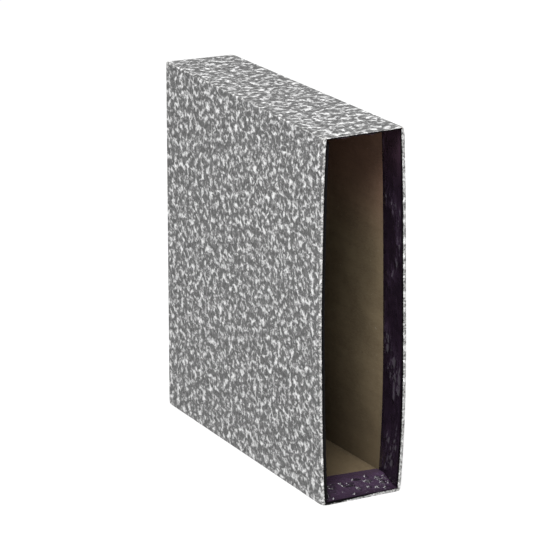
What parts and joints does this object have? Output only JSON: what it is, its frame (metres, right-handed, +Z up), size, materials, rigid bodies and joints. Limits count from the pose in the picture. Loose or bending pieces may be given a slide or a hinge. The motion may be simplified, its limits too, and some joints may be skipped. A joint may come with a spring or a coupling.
{
  "type": "lever arch file slipcase",
  "caption": "Upright greyboard slipcase for an A4 lever arch file, open at the front, wrapped in grey marbled paper with a black embossed strip round the mouth.",
  "frame": {"origin": "on the ground under the middle of the case: the bottom centre of its bounding box", "axes": "+Z up, -Y out of the open mouth, +Y to the closed rear, +X to the right of someone who faces the rear from the mouth"},
  "size_m": [0.0868, 0.3, 0.33],
  "materials": {
    "greyboard": "matt raw greyboard, brown-grey and slightly fibrous",
    "gummed_paper": "matt kraft paper",
    "marbled_paper": "satin paper printed with a fine grey and white marbling",
    "black_leathercloth": "glossy crinkled black leathercloth with a purple sheen"
  },
  "bodies": {
    "root": {"left_side_board": "greyboard", "right_side_board": "greyboard", "rear_board": "greyboard", "top_board": "greyboard", "bottom_board": "greyboard", "floor_liner_lower": "greyboard", "floor_liner_upper": "greyboard", "bottom_left_stay": "gummed_paper", "bottom_right_stay": "gummed_paper", "top_left_stay": "gummed_paper", "top_right_stay": "gummed_paper", "rear_left_stay": "gummed_paper", "rear_right_stay": "gummed_paper", "rear_bottom_stay": "gummed_paper", "rear_top_stay": "gummed_paper", "side_cover_paper": "marbled_paper", "bottom_cover_paper": "marbled_paper", "top_cover_paper": "marbled_paper", "left_mouth_strip": "black_leathercloth", "right_mouth_strip": "black_leathercloth", "top_mouth_strip": "black_leathercloth", "bottom_mouth_strip": "black_leathercloth"}
  },
  "joints": []
}
